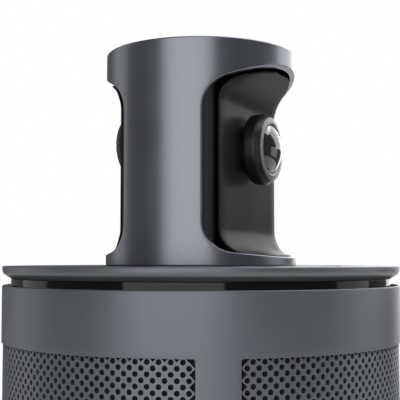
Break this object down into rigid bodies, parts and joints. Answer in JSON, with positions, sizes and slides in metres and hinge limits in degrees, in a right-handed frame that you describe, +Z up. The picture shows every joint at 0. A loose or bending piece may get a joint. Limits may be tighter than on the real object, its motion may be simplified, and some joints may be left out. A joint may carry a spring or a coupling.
{
  "type": "conference camera",
  "caption": "Cylindrical conference camera: a panning tower with opposed fisheye lenses in waisted windows, on a perforated speaker column with rear sockets and a tripod thread.",
  "frame": {"origin": "centre of the underside of the foot ring, on the surface that the camera stands on", "axes": "+Z up along the column, -Y the way the front lens looks with the head at home, +Y towards the rear sockets, +X to the right seen from the front"},
  "size_m": [0.1045, 0.1045, 0.2725],
  "materials": {
    "barrel_black": "satin black",
    "base_plastic": "fine texture",
    "basket_steel": "black paint",
    "bearing_steel": "ground",
    "black_insert": "fine matte black",
    "cap_plastic": "smooth dark touch surface",
    "circuit_board": "solder mask",
    "cone_paper": "pressed pulp",
    "dark_metal": "satin dark slate",
    "foot_rubber": "soft matte",
    "frame_aluminium": "die cast",
    "frame_plastic": "fine texture",
    "gear_brass": "hobbed",
    "gear_plastic": "moulded acetal",
    "gloss_ring": "polished smoked plastic",
    "insert_brass": "turned",
    "key_plastic": "satin",
    "led_lens": "clear",
    "lens_glass": "coated optical glass",
    "magnet_ferrite": "sintered",
    "motor_steel": "drawn can",
    "ring_metal": "turned, dark anodised",
    "screw_steel": "black oxide",
    "slate_metal": "satin slate-grey bead-blasted metal",
    "socket_plastic": "moulded",
    "socket_steel": "stamped",
    "speaker_cloth": "open acoustic weave",
    "surround_rubber": "moulded",
    "switch_steel": "plated"
  },
  "bodies": {
    "base": {"acoustic_cloth": "speaker_cloth", "audio_jack": "socket_plastic", "base_plate": "base_plastic", "base_screws": "screw_steel", "bearing_balls": "bearing_steel", "bearing_outer_race": "bearing_steel", "body_sleeve": "slate_metal", "ethernet_jack": "socket_steel", "foot_ring": "foot_rubber", "hdmi_port": "socket_steel", "led_board": "circuit_board", "leds": "led_lens", "light_ring": "gloss_ring", "main_board": "circuit_board", "motor_screws": "screw_steel", "pan_motor": "motor_steel", "port_panel": "frame_plastic", "power_jack": "socket_plastic", "soc_heatsink": "frame_aluminium", "sound_deflector": "frame_plastic", "speaker_basket": "basket_steel", "speaker_enclosure": "frame_plastic", "speaker_magnet": "magnet_ferrite", "speaker_surround": "surround_rubber", "support_pillars": "frame_aluminium", "top_frame": "frame_plastic", "tripod_insert": "insert_brass", "usb_c_port": "socket_steel"},
    "head": {"head_shell": "slate_metal", "head_cap": "cap_plastic", "inner_sleeve": "dark_metal", "lens_bezel_front": "black_insert", "lens_bezel_rear": "black_insert", "lens_barrel_front": "barrel_black", "lens_barrel_rear": "barrel_black", "lens_ring_front": "ring_metal", "lens_ring_rear": "ring_metal", "lens_dome_front": "lens_glass", "lens_dome_rear": "lens_glass", "lens_elements": "lens_glass", "sensor_boards": "circuit_board", "camera_frame": "frame_aluminium", "shoulder_plate": "slate_metal", "key_board": "circuit_board", "key_switches": "switch_steel", "mic_capsules": "switch_steel", "pan_hub": "frame_aluminium", "pan_gear": "gear_plastic", "hub_screws": "screw_steel", "bearing_inner_race": "bearing_steel"},
    "pinion": {"motor_pinion": "gear_brass", "motor_shaft": "bearing_steel"},
    "cone": {"speaker_cone": "cone_paper"},
    "key_power": {"key_power": "key_plastic"},
    "key_volume_down": {"key_volume_down": "key_plastic"},
    "key_microphone": {"key_microphone": "key_plastic"},
    "key_camera": {"key_camera": "key_plastic"},
    "key_view_mode": {"key_view_mode": "key_plastic"},
    "key_volume_up": {"key_volume_up": "key_plastic"}
  },
  "joints": [
    {"name": "head_pan", "type": "hinge", "parent": "base", "child": "head", "pos_m": [0, 0, 0.198], "axis": [0, 0, 1], "range_deg": [-170, 170]},
    {"name": "motor_spin", "type": "hinge", "parent": "base", "child": "pinion", "pos_m": [0.02611, 0.01507, 0.2], "axis": [0, 0, 1], "range_deg": [-680, 680]},
    {"name": "cone_travel", "type": "slide", "parent": "base", "child": "cone", "axis": [0, 0, 1], "range_m": [-0.001, 0.001], "stiffness_N_per_m": 1500, "deforming": ["speaker_surround"]},
    {"name": "key_power_press", "type": "slide", "parent": "head", "child": "key_power", "axis": [0, 0, -1], "range_m": [0, 0.0005], "stiffness_N_per_m": 800, "springref_m": -0.0003},
    {"name": "key_volume_down_press", "type": "slide", "parent": "head", "child": "key_volume_down", "axis": [0, 0, -1], "range_m": [0, 0.0005], "stiffness_N_per_m": 800, "springref_m": -0.0003},
    {"name": "key_microphone_press", "type": "slide", "parent": "head", "child": "key_microphone", "axis": [0, 0, -1], "range_m": [0, 0.0005], "stiffness_N_per_m": 800, "springref_m": -0.0003},
    {"name": "key_camera_press", "type": "slide", "parent": "head", "child": "key_camera", "axis": [0, 0, -1], "range_m": [0, 0.0005], "stiffness_N_per_m": 800, "springref_m": -0.0003},
    {"name": "key_view_mode_press", "type": "slide", "parent": "head", "child": "key_view_mode", "axis": [0, 0, -1], "range_m": [0, 0.0005], "stiffness_N_per_m": 800, "springref_m": -0.0003},
    {"name": "key_volume_up_press", "type": "slide", "parent": "head", "child": "key_volume_up", "axis": [0, 0, -1], "range_m": [0, 0.0005], "stiffness_N_per_m": 800, "springref_m": -0.0003}
  ],
  "couplings": [
    {"joint": "motor_spin", "follows": "head_pan", "ratio": -4}
  ]
}
